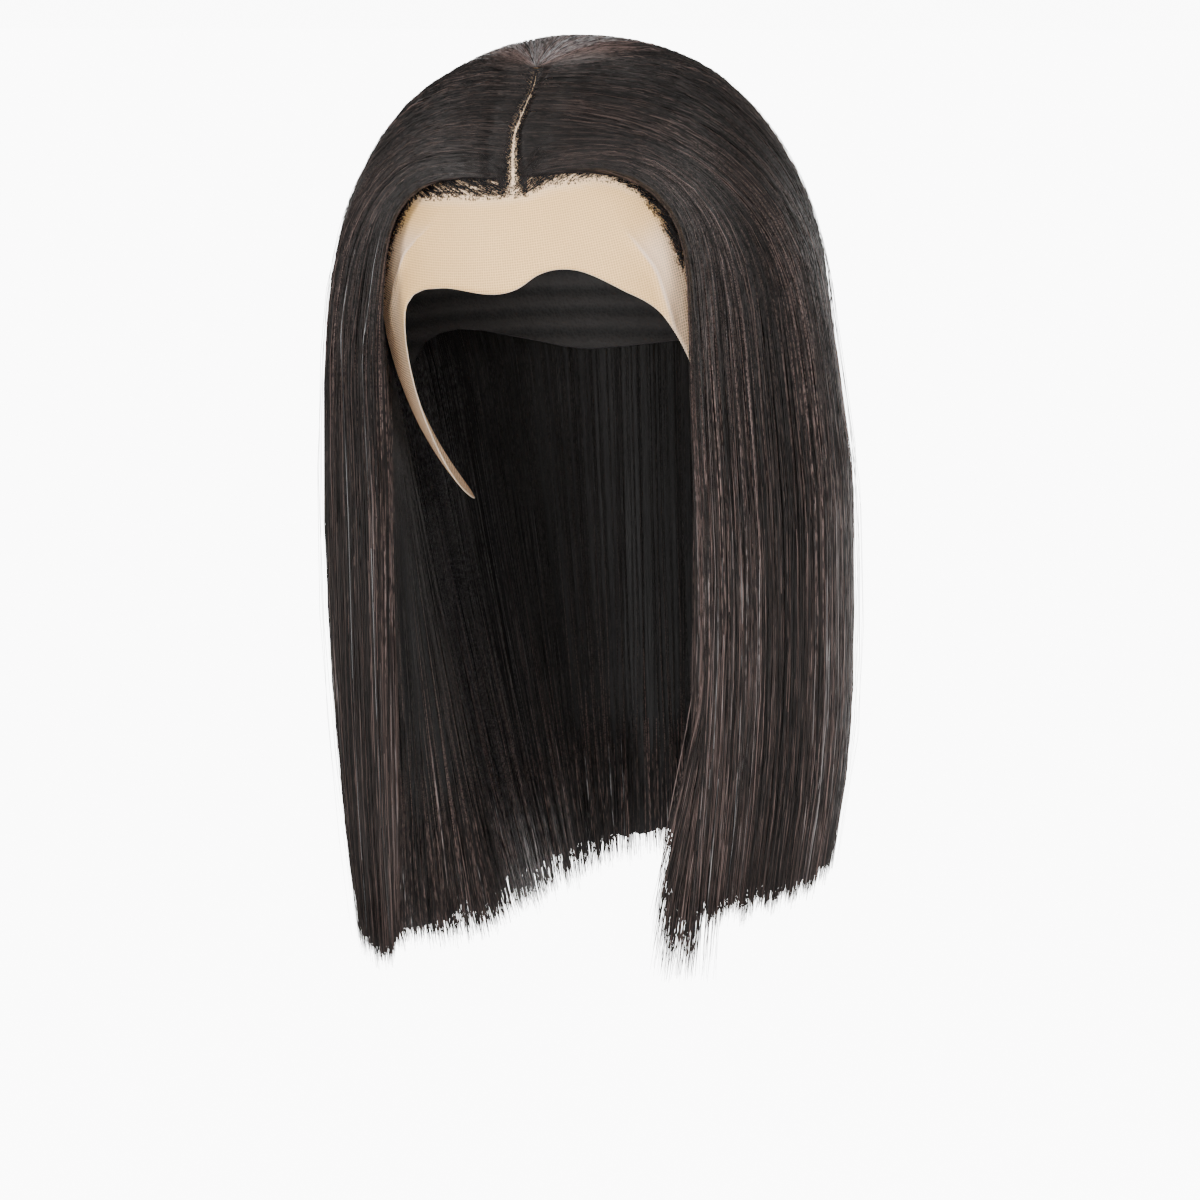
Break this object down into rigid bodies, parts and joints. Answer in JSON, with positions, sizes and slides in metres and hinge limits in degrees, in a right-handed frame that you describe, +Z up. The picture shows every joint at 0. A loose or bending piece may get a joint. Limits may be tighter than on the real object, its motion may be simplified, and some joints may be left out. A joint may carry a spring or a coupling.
{
  "type": "bob wig",
  "caption": "Straight shoulder-length bob wig with a centre parting, a sheer lace front and a closed cap, held open as a head holds it.",
  "frame": {"origin": "top of the inside of the cap, straight above the middle of the head, where the wig sits on the head", "axes": "+Z up along the hanging hair, the face looks along -Y, the wearer's left is at +X"},
  "size_m": [0.2153, 0.2141, 0.3757],
  "materials": {
    "lace": "sheer pale beige net",
    "cap_net": "dull near-black stretch net",
    "hair": "silky near-black straight hair with a soft sheen"
  },
  "bodies": {
    "root": {"lace_front": "lace", "crown_cap": "cap_net", "hair_left": "hair", "hair_back": "hair", "hair_right": "hair"}
  },
  "joints": []
}
